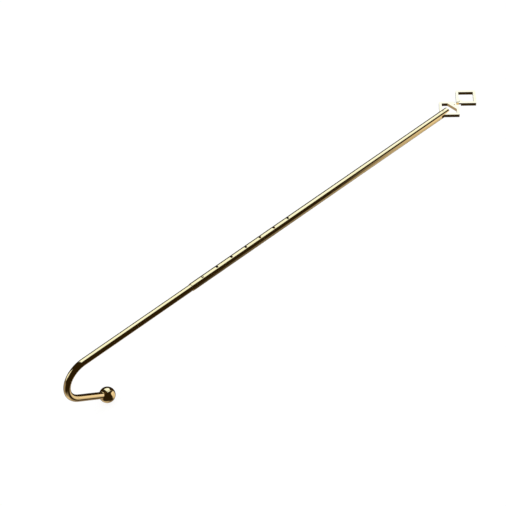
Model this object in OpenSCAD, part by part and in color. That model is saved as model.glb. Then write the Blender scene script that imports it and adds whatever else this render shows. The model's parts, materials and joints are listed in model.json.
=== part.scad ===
// Telescoping hook rod: a hook tube slides in a slotted outer tube, a sprung
// button locks it in one of seven holes, and two square links are riveted in
// line at the other end. Millimetres, +Z up, with the hook hanging straight down.

/* [View] */
// Node to draw

/* [Outer tube] */
// Outside diameter of the outer tube
outer_od = 12.7; // [12.4:0.1:13]
// Wall of the outer tube
outer_wall = 0.8; // [0.7:0.05:0.9]
// Length of the outer tube
outer_len = 576; // [540:1:640]
// Diameter of the adjustment holes
hole_d = 4.3; // [4.25:0.05:4.6]
// Distance from one adjustment hole to the next
hole_pitch = 30; // [25:1:32]
// First hole's centre, from the tube's mouth
hole_first = 23; // [18:1:26]
// Number of adjustment holes
hole_count = 7; // [3:1:7]

/* [Hook tube] */
// Wall of the hook tube
inner_wall = 1; // [0.9:0.05:1]
// Straight length of hook tube that shows outside the mouth
reach = 209.5; // [200:0.5:240]
// Length of hook tube inside the outer tube at rest
engaged = 45; // [42:1:47]
// Centre-line radius of the hook's bend
bend_r = 36.5; // [34:0.5:39]
// Turn of the hook's bend
bend_turn = 144; // [138:1:150]
// From the end of the bend to the ball's centre
arm_len = 61; // [56:0.5:66]

/* [Ball] */
// Diameter of the ball
ball_d = 25.4; // [24:0.2:27]

/* [Snap button] */
// Diameter of the button
button_d = 4; // [3.8:0.05:4]
// How far the button's dome stands proud of the outer tube
button_proud = 1.25; // [1.1:0.05:1.3]

/* [Links] */
// Outside width of each square link
link_side = 34; // [32:0.5:37]
// Width of the link's bar, seen from above
bar_w = 4.5; // [4.3:0.1:5]
// Height of the link's bar
bar_h = 6; // [5.5:0.1:6.2]
// Leg of the small gusset in the corner nearest the tube, along the inside of the bar
gusset = 8; // [7:0.5:9]
// Leg of the large gusset, in the lower link's corner at the lap
lap_gusset = 15; // [13:0.5:15.5]
// Diameter of the pin hole in the gusset on each side of the lap
pin_hole_d = 2; // [1.8:0.1:2.2]
// Distance from the outer tube's end to the lower link's centre
link_offset = 5.5; // [4:0.5:6]

/* [Hidden] */
$fn = 64;
gold = [0.86, 0.66, 0.28];
steel = [0.72, 0.73, 0.75];
eps = 0.01;

// Radii of the two tubes, with a running gap between them
slide_gap = 0.05;
outer_r = outer_od / 2;
bore_r = outer_r - outer_wall;
inner_r = bore_r - slide_gap;
inner_bore_r = inner_r - inner_wall;
rim = 0.25;
bend_thin = 0.02;
bend_bite = 0.5;

// Hook bend: rod along X with the mouth of the outer tube at X = 0, hook towards -Z
bend_x = -reach;
arm_x = bend_x - bend_r * sin(bend_turn);
arm_z = -bend_r + bend_r * cos(bend_turn);
heading = 180 + bend_turn;
ball_x = arm_x + arm_len * cos(heading);
ball_z = arm_z + arm_len * sin(heading);

// Ball end: how deep the tube sits in the ball, measured from the ball's centre
ball_r = ball_d / 2;
seat = ball_r - 3.2;
stud_tip = 2.5;
stud_len = 12;
thread_d = 6;

// Button, measured outwards from the rod's axis
button_top = outer_r + button_proud;
dome_h = 1;
dome_r = (button_d * button_d / 4 + dome_h * dome_h) / (2 * dome_h);
flange_d = 6;
flange_h = 0.8;
flange_top = sqrt(inner_bore_r * inner_bore_r - flange_d * flange_d / 4) - 0.1;

// V leaf spring inside the hook tube
leaf_t = 0.5;
leaf_w = 5;
leaf_len = 38;
leaf_z = -(sqrt(inner_bore_r * inner_bore_r - leaf_w * leaf_w / 4) - 0.05) + leaf_t / 2;
leaf_top = flange_top - flange_h - 0.03;
fold_r = 1.15;
fold_z = leaf_z + fold_r;
fold_steps = 8;
leaf_rise = asin((leaf_top - fold_z - fold_r - leaf_t / 2) / leaf_len);

// Links, each square set with a diagonal along the rod
half_diag = link_side / sqrt(2);
lower_x = outer_len + link_offset;
lap_in = bar_w / sqrt(2);
lap_x = lower_x + half_diag - lap_in;
upper_x = lap_x + half_diag - lap_in;
lap_r = 6;
lap_gap = 0.05;
corner_r = 1.2;
lower_pin_hole_x = lower_x + 12.6;
upper_pin_hole_x = upper_x - 16.7;
clevis_in = 8;
clevis_x = lower_x - half_diag + clevis_in;
clevis_d = 3;
pivot_gap = 0.05;
slot_h = bar_h + 0.3;
slot_clear = 0.6;
slot_x = clevis_x - clevis_in - slot_clear;
plug_solid = 10;
plug_x = slot_x - plug_solid;
plug_set_back = 0.4;
link_rivet_d = 2.6;
rivet_head_d = 4.2;
rivet_head_h = 0.6;

// Rest pose: the rod level, the hook upright below it, the ball's underside at Z = 0
tip_trim = corner_r * (sqrt(2) - 1);
low_x = bend_x - bend_r - inner_r;
high_x = upper_x + half_diag - tip_trim;
centre_x = (low_x + high_x) / 2;
rod_z = ball_r - ball_z;

module at_rest()
    translate([-centre_x, 0, rod_z])
        children();

// Cylinder along X from x0 to x1
module bar_x(r, x0, x1)
    translate([x0, 0, 0])
        rotate([0, 90, 0])
            cylinder(r = r, h = x1 - x0);

// Places its child at the end of the bend, with Z along the arm
module on_arm()
    translate([arm_x, 0, arm_z])
        rotate([0, 90 - heading, 0])
            children();

// Ring section of the hook tube, with its wall drawn thinner on both sides by thin
module tube_section(thin = 0)
    difference()
    {
        circle(r = inner_r - thin);
        circle(r = inner_bore_r + thin);
    }

// Hook tube along its centre line: shank, bend and arm. The bend is drawn a hair thinner
// and runs a little way into the walls on each side of it.
module hook_path()
{
    translate([bend_x, 0, 0])
        rotate([0, 90, 0])
            linear_extrude(engaged - bend_x)
                tube_section();
    translate([bend_x, 0, -bend_r])
        rotate([90, 0, 0])
            rotate([0, 0, 90 - bend_bite])
                rotate_extrude(angle = bend_turn + 2 * bend_bite)
                    translate([bend_r, 0]) tube_section(bend_thin);
    on_arm()
        linear_extrude(arm_len - seat)
            tube_section();
}

module end_slot()
    translate([slot_x, -outer_od, -slot_h / 2])
        cube([outer_len - slot_x + 1, 2 * outer_od, slot_h]);

module clevis_hole()
    translate([clevis_x, 0, -outer_od])
        cylinder(d = clevis_d, h = 2 * outer_od);

module outer_tube()
    color(gold)
    difference()
    {
        rotate([90, 0, 90])
            rotate_extrude()
                polygon([[bore_r, 0], [outer_r - rim, 0], [outer_r, rim],
                    [outer_r, outer_len - rim], [outer_r - rim, outer_len], [bore_r, outer_len]]);
        for (i = [0 : hole_count - 1])
            translate([hole_first + i * hole_pitch, 0, bore_r - 2])
                cylinder(d = hole_d, h = outer_r);
        end_slot();
        clevis_hole();
    }

module end_plug()
    color(gold)
    difference()
    {
        union()
        {
            bar_x(bore_r, plug_x, outer_len - plug_set_back - rim);
            bar_x(bore_r - rim, outer_len - plug_set_back - rim - eps, outer_len - plug_set_back);
        }
        end_slot();
        clevis_hole();
    }

// Rivet with both ends filed just under the tube's surface
module clevis_rivet()
    color(gold)
    translate([clevis_x, 0, -(outer_r - 0.2)])
        cylinder(d = clevis_d, h = 2 * (outer_r - 0.2));

// Square block with rounded upright edges, centred on the rod's axis
module rounded_block(side, r, h)
{
    translate([-side / 2 + r, -side / 2, -h / 2])
        cube([side - 2 * r, side, h]);
    translate([-side / 2, -side / 2 + r, -h / 2])
        cube([side, side - 2 * r, h]);
    for (u = [-1, 1], v = [-1, 1])
        translate([u * (side / 2 - r), v * (side / 2 - r), -h / 2])
            cylinder(r = r, h = h);
}

// Gusset in the corner that points along X at the given turn, run a little way into
// both bars
module corner_gusset(turn, leg)
{
    inside = link_side / 2 - bar_w;
    bite = bar_w / 2;
    rotate([0, 0, turn - 45])
        translate([0, 0, -bar_h / 2])
            linear_extrude(bar_h)
                polygon([[inside + bite, inside + bite], [inside - leg - bite, inside + bite],
                    [inside + bite, inside - leg - bite]]);
}

// Hole through both faces of a link, on the rod's axis
module link_hole(x, d)
    translate([x, 0, -bar_h])
        cylinder(d = d, h = 2 * bar_h);

// Square frame with two corners along X and a small gusset in the one towards the tube
module link_frame(centre)
    translate([centre, 0, 0])
    {
        rotate([0, 0, 45])
            difference()
            {
                rounded_block(link_side, corner_r, bar_h);
                translate([-link_side / 2 + bar_w, -link_side / 2 + bar_w, -bar_h])
                    cube([link_side - 2 * bar_w, link_side - 2 * bar_w, 2 * bar_h]);
            }
        corner_gusset(180, gusset);
    }

module lower_link()
    color(gold)
    difference()
    {
        union()
        {
            link_frame(lower_x);
            translate([lower_x, 0, 0]) corner_gusset(0, lap_gusset);
        }
        link_hole(clevis_x, clevis_d + 2 * pivot_gap);
        link_hole(lower_pin_hole_x, pin_hole_d);
        link_hole(lap_x, link_rivet_d);
        translate([lap_x, 0, -lap_gap])
            cylinder(r = lap_r, h = bar_h);
    }

module upper_link()
    color(gold)
    difference()
    {
        link_frame(upper_x);
        link_hole(upper_pin_hole_x, pin_hole_d);
        link_hole(lap_x, link_rivet_d + 2 * pivot_gap);
        translate([lap_x, 0, lap_gap - bar_h])
            cylinder(r = lap_r, h = bar_h);
    }

module rivet_head()
    cylinder(d1 = rivet_head_d, d2 = rivet_head_d - 1.2, h = rivet_head_h);

module link_rivet()
    color(gold)
    translate([lap_x, 0, 0])
    {
        translate([0, 0, -bar_h / 2])
            cylinder(d = link_rivet_d, h = bar_h + lap_gap);
        translate([0, 0, bar_h / 2 + lap_gap])
            rivet_head();
        translate([0, 0, -bar_h / 2])
            mirror([0, 0, 1]) rivet_head();
    }

module hook_tube()
    color(gold)
    difference()
    {
        hook_path();
        translate([hole_first, 0, 0])
            cylinder(d = button_d + 2 * slide_gap, h = outer_od);
    }

module end_ball()
    color(gold)
    difference()
    {
        translate([ball_x, 0, ball_z])
            sphere(d = ball_d);
        on_arm()
            translate([0, 0, arm_len - seat - ball_d])
                cylinder(r = inner_r, h = ball_d);
        on_arm()
            cylinder(d = thread_d, h = arm_len - stud_tip + 0.5);
    }

module ball_stud()
    color(steel)
    on_arm()
    {
        translate([0, 0, arm_len - seat - stud_len])
            cylinder(r = inner_bore_r, h = stud_len);
        translate([0, 0, arm_len - seat - eps])
            cylinder(d = thread_d, h = seat - stud_tip + eps);
    }

module snap_button()
    color(gold)
    translate([hole_first, 0, 0])
    {
        translate([0, 0, flange_top - flange_h])
            cylinder(d = flange_d, h = flange_h);
        intersection()
        {
            translate([0, 0, flange_top - eps])
                cylinder(d = button_d, h = button_top - flange_top + eps);
            union()
            {
                translate([0, 0, button_top - dome_r])
                    sphere(r = dome_r);
                cylinder(d = button_d + 1, h = button_top - dome_h);
            }
        }
    }

// The V spring's centre line, as [distance from the button's end towards the hook, Z,
// heading]: lower leaf, fold, upper leaf
function leaf_line() = concat(
    [[0, leaf_z, 0]],
    [for (k = [0 : fold_steps])
        let (a = -90 + k * (180 - leaf_rise) / fold_steps)
        [leaf_len + fold_r * cos(a), fold_z + fold_r * sin(a), a + 90]],
    [[leaf_len + fold_r * sin(leaf_rise) - leaf_len * cos(leaf_rise),
        fold_z + fold_r * cos(leaf_rise) + leaf_len * sin(leaf_rise), 180 - leaf_rise]]);

// One side of the strip, shift to the left of its centre line
function leaf_side(shift) =
    [for (p = leaf_line()) [p[0] - shift * sin(p[2]), p[1] + shift * cos(p[2])]];

function reversed(list) = [for (i = [len(list) - 1 : -1 : 0]) list[i]];

module button_spring()
    color(steel)
    translate([hole_first + flange_d / 2, leaf_w / 2, 0])
        mirror([1, 0, 0])
            rotate([90, 0, 0])
                linear_extrude(leaf_w)
                    polygon(concat(leaf_side(-leaf_t / 2), reversed(leaf_side(leaf_t / 2))));

at_rest() outer_tube();
at_rest() end_plug();
at_rest() clevis_rivet();
at_rest() lower_link();
at_rest() link_rivet();
at_rest() upper_link();
at_rest() hook_tube();
at_rest() end_ball();
at_rest() ball_stud();
at_rest() snap_button();
at_rest() button_spring();
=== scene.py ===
import json
import math

import bmesh
import bpy
from mathutils import Matrix, Vector


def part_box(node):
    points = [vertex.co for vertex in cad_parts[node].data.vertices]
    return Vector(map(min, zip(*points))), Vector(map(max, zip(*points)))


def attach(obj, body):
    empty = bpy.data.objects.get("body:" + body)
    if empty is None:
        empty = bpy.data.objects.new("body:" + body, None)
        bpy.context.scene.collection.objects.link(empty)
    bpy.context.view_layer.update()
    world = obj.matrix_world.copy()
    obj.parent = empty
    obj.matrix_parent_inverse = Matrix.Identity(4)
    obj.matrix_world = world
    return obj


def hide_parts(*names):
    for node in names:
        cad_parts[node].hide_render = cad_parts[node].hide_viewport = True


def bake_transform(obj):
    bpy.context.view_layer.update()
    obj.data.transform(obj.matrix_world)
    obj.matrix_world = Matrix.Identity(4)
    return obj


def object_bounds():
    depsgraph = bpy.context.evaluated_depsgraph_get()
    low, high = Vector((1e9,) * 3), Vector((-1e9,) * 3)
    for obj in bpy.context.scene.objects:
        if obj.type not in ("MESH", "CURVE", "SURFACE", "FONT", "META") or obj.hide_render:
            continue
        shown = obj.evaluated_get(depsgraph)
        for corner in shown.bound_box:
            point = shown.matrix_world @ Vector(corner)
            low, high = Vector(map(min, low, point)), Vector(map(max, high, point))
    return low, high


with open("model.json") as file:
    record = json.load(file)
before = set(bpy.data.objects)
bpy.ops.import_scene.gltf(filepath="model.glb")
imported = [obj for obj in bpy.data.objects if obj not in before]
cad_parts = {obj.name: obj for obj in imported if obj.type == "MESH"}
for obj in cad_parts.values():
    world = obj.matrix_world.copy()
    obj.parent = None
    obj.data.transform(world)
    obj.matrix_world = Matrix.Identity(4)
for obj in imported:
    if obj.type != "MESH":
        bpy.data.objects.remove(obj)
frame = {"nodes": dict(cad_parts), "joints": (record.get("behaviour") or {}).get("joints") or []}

CAD_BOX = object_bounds()

# Driving dimensions, in metres, as the hook rod is built
TUBE_WALL = 0.0008
HOOK_WALL = 0.001
SLIDE_GAP = 0.00005
HOLE_R = 0.00215
BUTTON_HOLE_R = 0.00205
HOLE_COUNT = 7
BEND_R = 0.0365
BEND_TURN = math.radians(144)
ARM_LENGTH = 0.061
BALL_SEAT = 0.0032
STUD_HOLE_R = 0.003
STUD_HOLE_END = 0.002
BUTTON_R = 0.002
BUTTON_PROUD = 0.00125
BUTTON_DOME = 0.001
BUTTON_FLANGE_R = 0.003
BUTTON_FLANGE_H = 0.0008
LEAF_T = 0.0005
LEAF_W = 0.005
LEAF_LENGTH = 0.038
LEAF_GAP = 0.00005
LEAF_FIT = 0.00003
FOLD_R = 0.00115
LINK_SIDE = 0.034
BAR_WIDTH = 0.0045
BAR_HEIGHT = 0.006
GUSSET_LEG = 0.008
LAP_GUSSET_LEG = 0.015
LOWER_PIN_HOLE = 0.0126
UPPER_PIN_HOLE = -0.0167
PIN_HOLE_R = 0.001
LINK_CORNER_R = 0.0012
LAP_R = 0.006
LAP_GAP = 0.00005
CLEVIS_RIVET_R = 0.0015
CLEVIS_SET_BACK = 0.0002
CLEVIS_CROWN = 0.00015
PIVOT_GAP = 0.00005
LINK_RIVET_R = 0.0013
RIVET_HEAD_R = 0.0021
RIVET_HEAD_H = 0.0006
SLOT_HALF = 0.00315
SLOT_REACH = 0.0086
RIVET_FIT = 0.00002
BALL_FIT = 0.00001
FLANGE_CLEAR = 0.0001

# Fineness of the meshes
SIDES = 96
PATCH_COLUMNS = 7
PATCH_ROWS = 7
PATCH_RINGS = 3
PATCH_HALF = 0.0032
BEND_STEPS = 90
FOLD_STEPS = 14
LEAF_STEPS = 24
SLOT_COLUMN = 16
OUTER_RUNS = 24
SHANK_RUNS = 16
ARM_RUNS = 6
TOUCH = 1e-7

# Widths of the softened edges
TUBE_EDGE = 0.00018
BALL_EDGE = 0.00025
BUTTON_EDGE = 0.0001
RIVET_EDGE = 0.00012
LINK_EDGE = 0.00018

# Distance from the outer tube's mouth to the next row of either tube, and half a cutter's
# full height
MOUTH_ROW = 0.004
CUTTER_REACH = 0.01


# ---- Where things are, all from the frame ------------------------------------------

def joint(name):
    return next(j for j in frame["joints"] if j["name"] == name)


def middle(node):
    low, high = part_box(node)
    return (low + high) / 2


PIVOT = Vector(joint("lower_link_pivot")["pos_m"])
LAP = Vector(joint("upper_link_pivot")["pos_m"])
UP = Vector(joint("lower_link_pivot")["axis"]).normalized()
ALONG = Vector((1, 0, 0))
ACROSS = UP.cross(ALONG)
MOUTH_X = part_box("outer_tube")[0].x
TUBE_END_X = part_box("outer_tube")[1].x
TUBE_R = (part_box("outer_tube")[1].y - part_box("outer_tube")[0].y) / 2
BORE_R = TUBE_R - TUBE_WALL
HOOK_R = BORE_R - SLIDE_GAP
HOOK_BORE_R = HOOK_R - HOOK_WALL
FIRST_HOLE_X = middle("snap_button").x
HOLE_PITCH = joint("tube_slide")["range_m"][1] / (HOLE_COUNT - 1)
HOOK_INNER_END_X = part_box("hook_tube")[1].x
BALL_R = (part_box("end_ball")[1].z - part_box("end_ball")[0].z) / 2
BALL_CENTRE = middle("end_ball")
BEND_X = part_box("hook_tube")[0].x + BEND_R + HOOK_R
LOWER_LINK_X = middle("lower_link").x
UPPER_LINK_X = middle("upper_link").x
SLOT_X = PIVOT.x - SLOT_REACH


def at_rod(x, across=0.0, up=0.0):
    """A point from its place along the row's X and its offsets from the rod's axis."""
    return Vector((x, PIVOT.y, PIVOT.z)) + ACROSS * across + UP * up


# ---- Mesh building -----------------------------------------------------------------

def object_from(name, points, faces, grain=None):
    """A smooth-shaded object; grain gives each point its place in the polish's own space."""
    mesh = bpy.data.meshes.new(name)
    mesh.from_pydata([tuple(p) for p in points], [], faces)
    bm = bmesh.new()
    bm.from_mesh(mesh)
    bmesh.ops.recalc_face_normals(bm, faces=bm.faces)
    bm.to_mesh(mesh)
    bm.free()
    mesh.shade_smooth()
    if grain is not None:
        layer = mesh.attributes.new("grain", "FLOAT_VECTOR", "POINT")
        layer.data.foreach_set("vector", [c for g in grain for c in g])
    piece = bpy.data.objects.new(name, mesh)
    bpy.context.scene.collection.objects.link(piece)
    return piece


def soften_edges(piece, width, segments=2):
    bevel = piece.modifiers.new("edges", "BEVEL")
    bevel.width = width
    bevel.segments = segments
    bevel.limit_method = "ANGLE"
    bevel.angle_limit = math.radians(32)
    bevel.harden_normals = True


class Tube:
    """A tube wall along stations, with round holes in its top or underside and end slots.

    A station is (place along the tube, axis point, top direction). Every point of the
    outer face has a twin on the bore, so each open edge is closed by one strip."""

    def __init__(self, stations, radius, bore, columns):
        self.stations = stations
        self.radius = radius
        self.bore = bore
        self.columns = columns
        self.outside = []
        self.inside = []
        self.grain = []
        self.faces = []
        self.skip = set()
        for i, station in enumerate(stations):
            for outer_angle, inner_angle in columns(station[0]):
                self.add(i, outer_angle, inner_angle)

    def ring_point(self, i, radius, angle):
        _, centre, top = self.stations[i]
        return centre + top * (radius * math.cos(angle)) + ACROSS * (radius * math.sin(angle))

    def add(self, i, outer_angle, inner_angle):
        place = self.stations[i][0]
        self.outside.append(self.ring_point(i, self.radius, outer_angle))
        self.inside.append(self.ring_point(i, self.bore, inner_angle))
        self.grain.append((place, self.radius * math.cos(outer_angle),
                           self.radius * math.sin(outer_angle)))
        return len(self.outside) - 1

    def index(self, i, j):
        return i * SIDES + j % SIDES

    def rows_within(self, x, half):
        return [i for i, s in enumerate(self.stations) if abs(s[0] - x) <= half + TOUCH]

    def cut_hole(self, x, hole_r, top=1):
        """Replaces the cells round a hole by rings that end in a circle. The hole is in the
        tube's top, or in its underside when top is -1."""
        rows = self.rows_within(x, PATCH_HALF)
        first, last = rows[0], rows[-1]
        m = PATCH_COLUMNS
        base = 0 if top > 0 else SIDES // 2
        self.skip |= {(i, (base + j) % SIDES) for i in range(first, last) for j in range(-m, m)}
        loop = [(i, -m) for i in range(first, last)]
        loop += [(last, j) for j in range(-m, m)]
        loop += [(i, m) for i in range(last, first, -1)]
        loop += [(first, j) for j in range(m, -m, -1)]
        ring = [self.index(i, base + j) for i, j in loop]
        step = math.tau / SIDES
        starts = [(self.stations[i][0] - x, j * step) for i, j in loop]
        for k in range(1, PATCH_RINGS + 1):
            share = (k / PATCH_RINGS) ** 0.7
            inner_ring = [self.hole_point(x, hole_r, s, share, top) for s in starts]
            count = len(ring)
            for n in range(count):
                after = (n + 1) % count
                self.faces.append((ring[n], ring[after], inner_ring[after], inner_ring[n]))
            ring = inner_ring

    def hole_point(self, x, hole_r, start, share, top):
        """A point between the patch's edge and the hole's rim, on both faces of the wall."""
        dx, angle = start
        turn = math.atan2(self.radius * math.sin(angle), dx)
        pair = []
        for radius in (self.radius, self.bore):
            dy = radius * math.sin(angle)
            along = dx + (hole_r * math.cos(turn) - dx) * share
            across = dy + (hole_r * math.sin(turn) - dy) * share
            up = math.sqrt(radius * radius - across * across)
            pair.append(at_rod(x + along, top * across, top * up))
        self.outside.append(pair[0])
        self.inside.append(pair[1])
        offset = pair[0] - at_rod(x)
        self.grain.append((pair[0].x, offset.dot(UP), offset.dot(ACROSS)))
        return len(self.outside) - 1

    def skip_slot(self, x, columns):
        rows = [i for i, s in enumerate(self.stations[:-1]) if s[0] >= x - TOUCH]
        self.skip |= {(i, j % SIDES) for i in rows for j in columns}

    def build(self, name):
        for i in range(len(self.stations) - 1):
            for j in range(SIDES):
                if (i, j) not in self.skip:
                    self.faces.append((self.index(i, j), self.index(i + 1, j),
                                       self.index(i + 1, j + 1), self.index(i, j + 1)))
        count = len(self.outside)
        used = {}
        for face in self.faces:
            for a, b in zip(face, face[1:] + face[:1]):
                used[frozenset((a, b))] = used.get(frozenset((a, b)), 0) + 1
        open_edges = [tuple(e) for e, times in used.items() if times == 1]
        faces = self.faces + [tuple(v + count for v in reversed(f)) for f in self.faces]
        faces += [(a, b, b + count, a + count) for a, b in open_edges]
        points, faces, grain = without_loose(
            self.outside + self.inside, faces, self.grain + self.grain)
        return object_from(name, points, faces, grain)


def without_loose(points, faces, grain):
    """Leaves out the points that no face uses."""
    kept = sorted({v for f in faces for v in f})
    new = {old: k for k, old in enumerate(kept)}
    return ([points[k] for k in kept],
            [tuple(new[v] for v in f) for f in faces],
            [grain[k] for k in kept])


def plain_columns(_place):
    return [(j * math.tau / SIDES,) * 2 for j in range(SIDES)]


def lathe(name, profile, origin, axis):
    """Turns a profile of (radius, height) points round an axis; radius 0 makes a pole."""
    side = axis.orthogonal().normalized()
    other = axis.cross(side)
    points, grain, rings, travelled = [], [], [], 0.0
    for k, (radius, height) in enumerate(profile):
        if k:
            travelled += math.hypot(radius - profile[k - 1][0], height - profile[k - 1][1])
        ring = []
        for n in range(1 if radius == 0 else SIDES):
            a = n * math.tau / SIDES
            ring.append(len(points))
            out = side * (radius * math.cos(a)) + other * (radius * math.sin(a))
            points.append(origin + axis * height + out)
            grain.append((radius * math.cos(a), travelled, 0.05 * radius * math.sin(a)))
        rings.append(ring)
    faces = []
    for low, high in zip(rings, rings[1:]):
        for n in range(SIDES):
            corners = [low[n % len(low)], low[(n + 1) % len(low)],
                       high[(n + 1) % len(high)], high[n % len(high)]]
            faces.append(tuple(dict.fromkeys(corners)))
    return object_from(name, points, faces, grain)


def arc(centre_r, centre_h, radius, start, end, steps):
    """Profile points on an arc, with angles in degrees from the radius direction."""
    angles = [math.radians(start + (end - start) * k / steps) for k in range(steps + 1)]
    return [(max(0.0, centre_r + radius * math.cos(a)), centre_h + radius * math.sin(a))
            for a in angles]


def capped(profile):
    """Snaps a profile's ends to the axis."""
    return [(0.0, h) if k in (0, len(profile) - 1) else (r, h)
            for k, (r, h) in enumerate(profile)]


# ---- The outer tube ----------------------------------------------------------------

def hole_places():
    return [FIRST_HOLE_X + k * HOLE_PITCH for k in range(HOLE_COUNT)]


def outer_columns(x):
    """Column angles. The four beside the end slots sit exactly on the slots' edges."""
    outer_edge = math.acos(SLOT_HALF / TUBE_R)
    inner_edge = math.acos(SLOT_HALF / BORE_R) if x >= SLOT_X - TOUCH else outer_edge
    pairs = plain_columns(x)
    for base, turn in ((0, 1), (0, -1), (SIDES // 2, 1), (SIDES // 2, -1)):
        column = (base + turn * SLOT_COLUMN) % SIDES
        angle = base * math.tau / SIDES
        pairs[column] = (angle + turn * outer_edge, angle + turn * inner_edge)
    return pairs


def patch_places(x):
    """The places along the tube where the rows of the patch round a hole stand."""
    return {x + PATCH_HALF * (2 * k / PATCH_ROWS - 1) for k in range(PATCH_ROWS + 1)}


def outer_tube():
    places = {MOUTH_X, MOUTH_X + MOUTH_ROW, SLOT_X, TUBE_END_X}
    for x in hole_places() + [PIVOT.x]:
        places |= patch_places(x)
    last_hole = hole_places()[-1]
    run = SLOT_X - last_hole
    places |= {last_hole + run * k / OUTER_RUNS for k in range(1, OUTER_RUNS)}
    stations = [(x, at_rod(x), UP) for x in sorted(places)]
    tube = Tube(stations, TUBE_R, BORE_R, outer_columns)
    for x in hole_places():
        tube.cut_hole(x, HOLE_R)
    tube.cut_hole(PIVOT.x, CLEVIS_RIVET_R + RIVET_FIT)
    tube.cut_hole(PIVOT.x, CLEVIS_RIVET_R + RIVET_FIT, -1)
    tube.skip_slot(SLOT_X, list(range(SLOT_COLUMN, SIDES // 2 - SLOT_COLUMN)))
    tube.skip_slot(SLOT_X, list(range(SIDES // 2 + SLOT_COLUMN, SIDES - SLOT_COLUMN)))
    piece = tube.build("outer_tube_wall")
    soften_edges(piece, TUBE_EDGE)
    return piece


# ---- The hook tube -----------------------------------------------------------------

def turned(heading):
    """The direction with this heading in the hook's upright plane."""
    return ALONG * math.cos(heading) + UP * math.sin(heading)


def hook_stations():
    """From the end of the arm, round the bend and along the shank to the sprung end, and
    the arm's direction."""
    places = {BEND_X, MOUTH_X - MOUTH_ROW, HOOK_INNER_END_X}
    places |= {BEND_X + (MOUTH_X - BEND_X) * k / SHANK_RUNS for k in range(1, SHANK_RUNS)}
    places |= patch_places(FIRST_HOLE_X)
    shank = [(x, at_rod(x), UP) for x in sorted(places)]
    bend = []
    for k in range(1, BEND_STEPS + 1):
        angle = BEND_TURN * k / BEND_STEPS
        outwards = turned(math.pi / 2 + angle)
        point = at_rod(BEND_X, 0, -BEND_R) + outwards * BEND_R
        bend.append((BEND_X - BEND_R * angle, point, outwards))
    place, point, outwards = bend[-1]
    arm_direction = turned(math.pi + BEND_TURN)
    seat = ARM_LENGTH - (BALL_R - BALL_SEAT)
    arm = [(place - seat * k / ARM_RUNS, point + arm_direction * (seat * k / ARM_RUNS), outwards)
           for k in range(1, ARM_RUNS + 1)]
    return list(reversed(bend + arm)) + shank, arm_direction


def hook_tube():
    stations, _ = hook_stations()
    tube = Tube(stations, HOOK_R, HOOK_BORE_R, plain_columns)
    tube.cut_hole(FIRST_HOLE_X, BUTTON_HOLE_R)
    piece = tube.build("hook_tube_wall")
    soften_edges(piece, TUBE_EDGE)
    return piece


# ---- Turned pieces -----------------------------------------------------------------

def end_ball():
    """A turned ball, bored for the tube's end and drilled for the stud."""
    _, arm_direction = hook_stations()
    bore = HOOK_R + BALL_FIT
    mouth = math.degrees(math.asin(bore / BALL_R)) - 90
    profile = [(0.0, -STUD_HOLE_END), (STUD_HOLE_R, -STUD_HOLE_END),
               (STUD_HOLE_R, BALL_SEAT - BALL_R), (bore, BALL_SEAT - BALL_R)]
    profile += arc(0, 0, BALL_R, mouth, 90, 72)
    piece = lathe("end_ball_turned", capped(profile), BALL_CENTRE, arm_direction)
    soften_edges(piece, BALL_EDGE)
    return piece


def flange_height():
    """How high the button's flange stands, just under the curve of the hook tube's bore."""
    return math.sqrt(HOOK_BORE_R ** 2 - BUTTON_FLANGE_R ** 2) - FLANGE_CLEAR


def snap_button():
    top = TUBE_R + BUTTON_PROUD
    flange_top = flange_height()
    dome_r = (BUTTON_R ** 2 + BUTTON_DOME ** 2) / (2 * BUTTON_DOME)
    edge = math.degrees(math.acos(BUTTON_R / dome_r))
    profile = [(0.0, flange_top - BUTTON_FLANGE_H), (BUTTON_FLANGE_R, flange_top - BUTTON_FLANGE_H),
               (BUTTON_FLANGE_R, flange_top), (BUTTON_R, flange_top)]
    profile += arc(0, top - dome_r, dome_r, edge, 90, 20)
    piece = lathe("snap_button_turned", capped(profile), at_rod(FIRST_HOLE_X), UP)
    soften_edges(piece, BUTTON_EDGE)
    return piece


def clevis_rivet():
    """A rivet through the tube's end, its two faces filed a little below the surface."""
    reach = TUBE_R - CLEVIS_SET_BACK
    profile = [(0.0, -reach), (CLEVIS_RIVET_R * 0.6, -reach + CLEVIS_CROWN * 0.3),
               (CLEVIS_RIVET_R, -reach + CLEVIS_CROWN), (CLEVIS_RIVET_R, reach - CLEVIS_CROWN),
               (CLEVIS_RIVET_R * 0.6, reach - CLEVIS_CROWN * 0.3), (0.0, reach)]
    return lathe("clevis_rivet_turned", profile, Vector(PIVOT), UP)


def link_rivet():
    """The rivet at the lap of the two links, with a domed head each side."""
    half = BAR_HEIGHT / 2
    dome_r = (RIVET_HEAD_R ** 2 + RIVET_HEAD_H ** 2) / (2 * RIVET_HEAD_H)
    edge = math.degrees(math.acos(RIVET_HEAD_R / dome_r))
    low = arc(0, -half - RIVET_HEAD_H + dome_r, dome_r, -90, -edge, 10)
    high = arc(0, half + LAP_GAP + RIVET_HEAD_H - dome_r, dome_r, edge, 90, 10)
    profile = low + [(LINK_RIVET_R, -half), (LINK_RIVET_R, half + LAP_GAP)] + high
    piece = lathe("link_rivet_turned", capped(profile), Vector(LAP), UP)
    soften_edges(piece, RIVET_EDGE)
    return piece


# ---- The leaf spring under the button ----------------------------------------------

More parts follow.
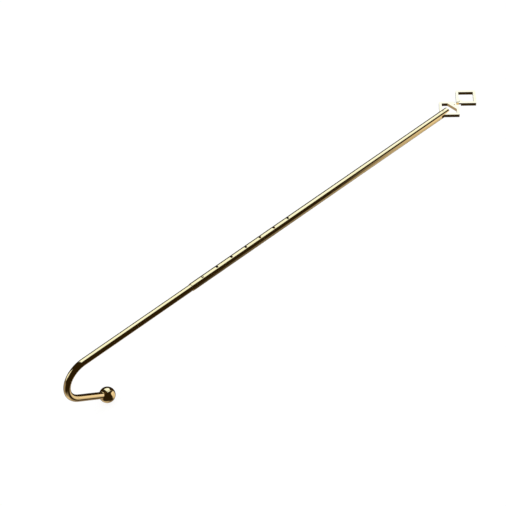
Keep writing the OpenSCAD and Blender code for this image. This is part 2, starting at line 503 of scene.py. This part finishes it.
def leaf_line():
    """The V spring's centre line from the lower leaf's tip, round the fold and back to the
    button, as (distance towards the hook, height over the rod's axis, heading)."""
    low = LEAF_T / 2 + LEAF_GAP - math.sqrt(HOOK_BORE_R ** 2 - LEAF_W ** 2 / 4)
    top = flange_height() - BUTTON_FLANGE_H - LEAF_FIT
    rise = math.asin((top - low - 2 * FOLD_R - LEAF_T / 2) / LEAF_LENGTH)
    line = [(0.0, low, 0.0)]
    for k in range(FOLD_STEPS + 1):
        a = (math.pi - rise) * k / FOLD_STEPS
        line.append((LEAF_LENGTH + FOLD_R * math.sin(a), low + FOLD_R * (1 - math.cos(a)), a))
    x, height, heading = line[-1]
    for k in range(1, LEAF_STEPS + 1):
        run = LEAF_LENGTH * k / LEAF_STEPS
        line.append((x - run * math.cos(rise), height + run * math.sin(rise), heading))
    return line


def button_spring():
    """Flat strip along the leaf line."""
    line = leaf_line()
    tip_x = FIRST_HOLE_X + BUTTON_FLANGE_R
    points = []
    for away, height, heading in line:
        for across, lift in ((-1, -1), (1, -1), (1, 1), (-1, 1)):
            off = lift * LEAF_T / 2
            x = tip_x - away + off * math.sin(heading)
            points.append(at_rod(x, across * LEAF_W / 2, height + off * math.cos(heading)))
    last = len(points) - 4
    faces = [(0, 1, 2, 3), tuple(range(last, last + 4))]
    for n in range(0, last, 4):
        faces += [(n + k, n + (k + 1) % 4, n + 4 + (k + 1) % 4, n + 4 + k) for k in range(4)]
    piece = object_from("button_spring_leaf", points, faces)
    piece.data.shade_flat()
    piece.data.materials.append(steel)
    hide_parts("button_spring")
    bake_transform(piece)


# ---- The square links --------------------------------------------------------------

def rounded_square(side, corner, steps=6):
    points = []
    reach = side / 2 - corner
    for k, (u, v) in enumerate(((1, 1), (-1, 1), (-1, -1), (1, -1))):
        for n in range(steps + 1):
            a = math.pi / 2 * (k + n / steps)
            points.append((u * reach + corner * math.cos(a), v * reach + corner * math.sin(a)))
    return points


def link_opening(legs):
    """The opening's corners, each cut off straight by a gusset with that leg, or sharp at 0."""
    reach = LINK_SIDE / 2 - BAR_WIDTH
    points = []
    for (u, v), leg in zip(((1, 1), (-1, 1), (-1, -1), (1, -1)), legs):
        if leg == 0:
            points.append((u * reach, v * reach))
        else:
            beside = [(u * reach, v * (reach - leg)), (u * (reach - leg), v * reach)]
            points += beside if u * v > 0 else beside[::-1]
    return points


def prism(name, outline, opening, place, low, high):
    """A flat ring between two outlines, from height low to high over the rod's axis."""
    bm = bmesh.new()
    loops = []
    for points in (outline, opening):
        verts = [bm.verts.new(place(u, v, low)) for u, v in points]
        loops += [bm.edges.new((a, b)) for a, b in zip(verts, verts[1:] + verts[:1])]
    bmesh.ops.triangle_fill(bm, edges=loops, use_beauty=True, use_dissolve=False)
    base = list(bm.faces)
    grown = bmesh.ops.extrude_face_region(bm, geom=base)
    rise = [v for v in grown["geom"] if isinstance(v, bmesh.types.BMVert)]
    bmesh.ops.translate(bm, verts=rise, vec=UP * (high - low))
    bmesh.ops.recalc_face_normals(bm, faces=bm.faces)
    mesh = bpy.data.meshes.new(name)
    bm.to_mesh(mesh)
    bm.free()
    piece = bpy.data.objects.new(name, mesh)
    bpy.context.scene.collection.objects.link(piece)
    return piece


def drill(name, centre, radius, low=-CUTTER_REACH, high=CUTTER_REACH):
    """A cutter for a round hole, or for a recess when one of its ends is given."""
    profile = [(0.0, low), (radius, low), (radius, high), (0.0, high)]
    return lathe(name, profile, Vector(centre), UP)


def cut_away(piece, cutters):
    """Cuts the cutters out of a piece, and joins what is flat again."""
    for cutter in cutters:
        step = piece.modifiers.new("cut", "BOOLEAN")
        step.operation = "DIFFERENCE"
        step.solver = "EXACT"
        step.object = cutter
    shown = piece.evaluated_get(bpy.context.evaluated_depsgraph_get())
    mesh = bpy.data.meshes.new_from_object(shown)
    piece.modifiers.clear()
    piece.data = mesh
    for cutter in cutters:
        bpy.data.objects.remove(cutter)
    bm = bmesh.new()
    bm.from_mesh(mesh)
    bmesh.ops.remove_doubles(bm, verts=bm.verts, dist=1e-6)
    bmesh.ops.dissolve_limit(bm, angle_limit=math.radians(0.5), verts=bm.verts, edges=bm.edges)
    bm.to_mesh(mesh)
    bm.free()
    mesh.shade_smooth()


def link(name, centre_x, legs, cutters):
    """A square link, a corner towards each end of the rod. legs are its gussets' legs in
    the corners towards the rod's far end, +Y, the tube and -Y."""
    def place(u, v, up):
        return at_rod(centre_x + (u + v) / math.sqrt(2), (v - u) / math.sqrt(2), up)

    half = BAR_HEIGHT / 2
    piece = prism(name, rounded_square(LINK_SIDE, LINK_CORNER_R), link_opening(legs),
                  place, -half, half)
    cut_away(piece, cutters)
    soften_edges(piece, LINK_EDGE)
    return piece


def lower_link():
    return link("lower_link_bar", LOWER_LINK_X, (LAP_GUSSET_LEG, 0, GUSSET_LEG, 0), [
        drill("pivot_hole", PIVOT, CLEVIS_RIVET_R + PIVOT_GAP),
        drill("pin_hole", at_rod(LOWER_LINK_X + LOWER_PIN_HOLE), PIN_HOLE_R),
        drill("lap_recess", LAP, LAP_R, low=-LAP_GAP),
        drill("rivet_hole", LAP, LINK_RIVET_R)])


def upper_link():
    return link("upper_link_bar", UPPER_LINK_X, (0, 0, GUSSET_LEG, 0), [
        drill("pin_hole", at_rod(UPPER_LINK_X + UPPER_PIN_HOLE), PIN_HOLE_R),
        drill("lap_recess", LAP, LAP_R, high=LAP_GAP),
        drill("rivet_hole", LAP, LINK_RIVET_R + PIVOT_GAP)])


# ---- Materials ---------------------------------------------------------------------

class Nodes:
    """A short way to write a shader's node tree."""

    def __init__(self, tree):
        self.tree = tree
        tree.nodes.clear()

    def add(self, kind, settings=None, **inputs):
        node = self.tree.nodes.new(kind)
        for key, value in (settings or {}).items():
            setattr(node, key, value)
        for key, value in inputs.items():
            self.put(node.inputs[key.replace("_", " ")], value)
        return node

    def put(self, socket, value):
        if isinstance(value, bpy.types.NodeSocket):
            self.tree.links.new(value, socket)
        elif value is not None:
            socket.default_value = value

    def math(self, operation, a, b=None, c=None):
        node = self.tree.nodes.new("ShaderNodeMath")
        node.operation = operation
        for socket, value in zip(node.inputs, (a, b, c)):
            self.put(socket, value)
        return node.outputs[0]

    def ramp(self, value, low, high, out_low=0.0, out_high=1.0):
        """A smooth step from out_low to out_high as value goes from low to high."""
        node = self.tree.nodes.new("ShaderNodeMapRange")
        node.interpolation_type = "SMOOTHSTEP"
        for socket, v in zip(node.inputs, (value, low, high, out_low, out_high)):
            self.put(socket, v)
        return node.outputs[0]

    def mix(self, factor, a, b):
        node = self.tree.nodes.new("ShaderNodeMix")
        node.data_type = "RGBA"
        self.put(node.inputs["Factor"], factor)
        self.put(node.inputs[6], a)
        self.put(node.inputs[7], b)
        return node.outputs[2]


def noise(n, vector, scale, stretch, detail=3.0):
    mapping = n.add("ShaderNodeMapping", Vector=vector, Scale=stretch)
    return n.add("ShaderNodeTexNoise", Vector=mapping.outputs[0], Scale=scale,
                 Detail=detail).outputs[0]


def metal(name, colour, worn, smooth, dull, grained):
    """A polished metal: faint handling marks, hairlines along the polish and brighter edges."""
    material = bpy.data.materials.new(name)
    material.use_nodes = True
    n = Nodes(material.node_tree)
    if grained:
        grain = n.add("ShaderNodeAttribute", {"attribute_name": "grain"}).outputs["Vector"]
    else:
        grain = n.add("ShaderNodeTexCoord").outputs["Object"]
    place = n.add("ShaderNodeTexCoord").outputs["Object"]
    smudges = noise(n, place, 38.0, (1.0, 2.5, 2.5), 4.0)
    hairlines = noise(n, grain, 1.0, (60.0, 5200.0, 5200.0), 2.0)
    tone = noise(n, place, 9.0, (1.0, 1.0, 1.0), 2.0)
    edge = n.ramp(n.add("ShaderNodeNewGeometry").outputs["Pointiness"], 0.53, 0.62)
    base = n.mix(n.ramp(tone, 0.35, 0.65, 0.0, 0.35), colour, worn)
    base = n.mix(edge, base, worn)
    rough = n.ramp(smudges, 0.42, 0.72, smooth, dull)
    rough = n.math("ADD", rough, n.math("MULTIPLY", n.ramp(hairlines, 0.55, 0.75), 0.03))
    bump = n.add("ShaderNodeBump", Strength=0.05, Distance=0.00001, Height=hairlines)
    shader = n.add("ShaderNodeBsdfPrincipled", Base_Color=base, Metallic=1.0, Roughness=rough,
                   Normal=bump.outputs[0])
    n.add("ShaderNodeOutputMaterial", Surface=shader.outputs[0])
    return material


GOLD = (0.93, 0.71, 0.36, 1.0)
PALE_GOLD = (1.0, 0.80, 0.48, 1.0)
STEEL = (0.60, 0.61, 0.63, 1.0)
BRIGHT_STEEL = (0.78, 0.79, 0.80, 1.0)


def finish_piece(piece, body, node, material):
    piece.data.materials.clear()
    piece.data.materials.append(material)
    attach(piece, body)
    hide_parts(node)


def repaint(node, material):
    """Gives a CAD node that stays its material, on every slot."""
    piece = frame["nodes"][node]
    piece.data.materials.clear()
    piece.data.materials.append(material)


# ---- Floor, light and camera -------------------------------------------------------

def floor():
    """A glowing white table, which only the camera and the diffuse light see."""
    half = 6.0
    under = 0.00002
    centre = (CAD_BOX[0] + CAD_BOX[1]) / 2
    corners = [(centre.x + u * half, centre.y + v * half, CAD_BOX[0].z - under)
               for u, v in ((-1, -1), (1, -1), (1, 1), (-1, 1))]
    piece = object_from("floor", corners, [(0, 1, 2, 3)])
    material = bpy.data.materials.new("white_table")
    material.use_nodes = True
    n = Nodes(material.node_tree)
    paper = noise(n, n.add("ShaderNodeTexCoord").outputs["Object"], 60.0, (1.0, 1.0, 1.0))
    shade = n.ramp(paper, 0.2, 0.8, 0.13, 0.15)
    colour = n.add("ShaderNodeCombineColor", Red=shade, Green=shade, Blue=shade).outputs[0]
    shader = n.add("ShaderNodeBsdfPrincipled", Base_Color=colour, Roughness=0.9,
                   Emission_Color=(1.0, 1.0, 1.0, 1.0), Emission_Strength=0.89)
    n.add("ShaderNodeOutputMaterial", Surface=shader.outputs[0])
    piece.data.materials.append(material)
    piece.visible_glossy = False


class Studio:
    """Softboxes and cards round the rod, laid out by direction. The roll angle turns about
    the rod, from straight up towards the camera's side."""

    def __init__(self, n):
        self.n = n
        coordinates = n.add("ShaderNodeTexCoord").outputs["Generated"]
        self.direction = coordinates
        self.x, self.y, self.z = n.add("ShaderNodeSeparateXYZ", Vector=coordinates).outputs
        self.roll = n.math("ARCTAN2", n.math("MULTIPLY", self.y, -1.0), self.z)
        self.total = None

    def window(self, value, low, high, soft):
        """1 between low and high, falling to 0 over a soft edge at each."""
        up = self.n.ramp(value, low - soft, low + soft)
        down = self.n.ramp(value, high - soft, high + soft, 1.0, 0.0)
        return self.n.math("MULTIPLY", up, down)

    def rolled(self, low, high, soft):
        return self.window(self.roll, *(math.radians(a) for a in (low, high, soft)))

    def light(self, colour, level, *masks):
        """Adds a light of a colour and level where all its masks are 1."""
        strength = level
        for mask in masks:
            strength = self.n.math("MULTIPLY", mask, strength)
        box = self.n.add("ShaderNodeBackground", Color=(*colour, 1.0), Strength=strength)
        glow = box.outputs[0]
        if self.total is None:
            self.total = glow
            return
        both = self.n.tree.nodes.new("ShaderNodeAddShader")
        self.n.tree.links.new(self.total, both.inputs[0])
        self.n.tree.links.new(glow, both.inputs[1])
        self.total = both.outputs[0]

    def towards(self, direction, near, far):
        """1 within near degrees of a direction, 0 beyond far degrees."""
        dot = self.n.tree.nodes.new("ShaderNodeVectorMath")
        dot.operation = "DOT_PRODUCT"
        self.n.put(dot.inputs[0], self.direction)
        self.n.put(dot.inputs[1], Vector(direction).normalized())
        outer, inner = (math.cos(math.radians(a)) for a in (far, near))
        return self.n.ramp(dot.outputs["Value"], outer, inner)


def studio():
    """The room: plain white for the floor's light, and softboxes in a dark room for the
    metal's reflections."""
    world = bpy.data.worlds.new("studio")
    bpy.context.scene.world = world
    world.use_nodes = True
    world.cycles.sampling_method = "NONE"
    n = Nodes(world.node_tree)
    room = Studio(n)
    # The dark room itself
    room.light((1.0, 0.6, 0.15), 0.024)
    # The long softbox overhead towards the links' end, and one high on the far side towards
    # the hook's end
    room.light((0.67, 0.83, 1.0), 1.54, room.rolled(-61, 12, 3),
               room.window(room.x, 0.10, 0.79, 0.05))
    room.light((0.8, 0.9, 1.0), 1.3, room.rolled(-90, -34, 6),
               room.window(room.x, -0.88, -0.50, 0.05))
    # A small blue lamp high on the far side, towards the links' end
    room.light((0.1, 0.2, 1.0), 0.6, room.towards((0.587, 0.489, 0.645), 5, 11))
    # Cream cards on the camera's side, towards the links' end: below the rod, beside it and
    # a little above it
    room.light((1.0, 0.93, 0.82), 0.8, n.ramp(room.x, 0.36, 0.66), room.rolled(110, 225, 12))
    room.light((1.0, 0.93, 0.82), 0.9, n.ramp(room.x, 0.50, 0.58), room.rolled(56, 108, 8))
    room.light((1.0, 0.96, 0.88), 0.8, n.ramp(room.x, 0.62, 0.70), room.rolled(45, 60, 12))
    # The table under the rod, brighter towards the hook's end
    room.light((1.0, 0.86, 0.7), 0.3, n.ramp(room.z, -0.82, -0.97))
    room.light((1.0, 0.94, 0.84), 0.5, n.ramp(room.z, -0.62, -0.95), n.ramp(room.x, 0.0, -0.4))
    # A low cream card on the far side, towards the hook's end
    room.light((1.0, 0.9, 0.8), 0.35, n.ramp(room.x, -0.25, -0.55), n.ramp(room.y, -0.05, 0.3),
               n.ramp(room.z, 0.05, -0.25))
    plain = n.add("ShaderNodeBackground", Color=(1.0, 1.0, 1.0, 1.0), Strength=0.92)
    glossy = n.add("ShaderNodeLightPath").outputs["Is Glossy Ray"]
    both = n.add("ShaderNodeMixShader", Fac=glossy)
    n.tree.links.new(plain.outputs[0], both.inputs[1])
    n.tree.links.new(room.total, both.inputs[2])
    n.add("ShaderNodeOutputWorld", Surface=both.outputs[0])


def camera():
    """A long lens, looking down the rod's length from the hook's side. The view leans a
    little about the rod."""
    azimuth = math.radians(-42.35)
    elevation = math.radians(49.55)
    lean = Matrix.Rotation(math.radians(4.97), 3, "X")
    distance = 2.277
    back = Vector((math.sin(azimuth) * math.cos(elevation),
                   -math.cos(azimuth) * math.cos(elevation), math.sin(elevation)))
    target = at_rod(MOUTH_X + 0.1202, -0.0078, -0.00705)
    data = bpy.data.cameras.new("camera")
    data.lens = 103.2
    data.sensor_width = 36
    eye = bpy.data.objects.new("camera", data)
    bpy.context.scene.collection.objects.link(eye)
    eye.location = target + lean @ back * distance
    eye.rotation_mode = "QUATERNION"
    eye.rotation_quaternion = lean.to_quaternion() @ (-back).to_track_quat("-Z", "Y")
    bpy.context.scene.camera = eye


# ---- The whole scene ---------------------------------------------------------------

gold = metal("polished_gold", GOLD, PALE_GOLD, 0.045, 0.11, True)
plain_gold = metal("polished_gold_plain", GOLD, PALE_GOLD, 0.06, 0.13, False)
steel = metal("spring_steel", STEEL, BRIGHT_STEEL, 0.16, 0.28, False)

finish_piece(outer_tube(), "outer", "outer_tube", gold)
finish_piece(clevis_rivet(), "outer", "clevis_rivet", gold)
finish_piece(hook_tube(), "hook", "hook_tube", gold)
finish_piece(end_ball(), "hook", "end_ball", gold)
finish_piece(snap_button(), "button", "snap_button", gold)
finish_piece(lower_link(), "lower_link", "lower_link", plain_gold)
finish_piece(link_rivet(), "lower_link", "link_rivet", gold)
finish_piece(upper_link(), "upper_link", "upper_link", plain_gold)
repaint("end_plug", plain_gold)
repaint("ball_stud", steel)
button_spring()

floor()
studio()
camera()
bpy.context.scene.view_settings.view_transform = "Standard"
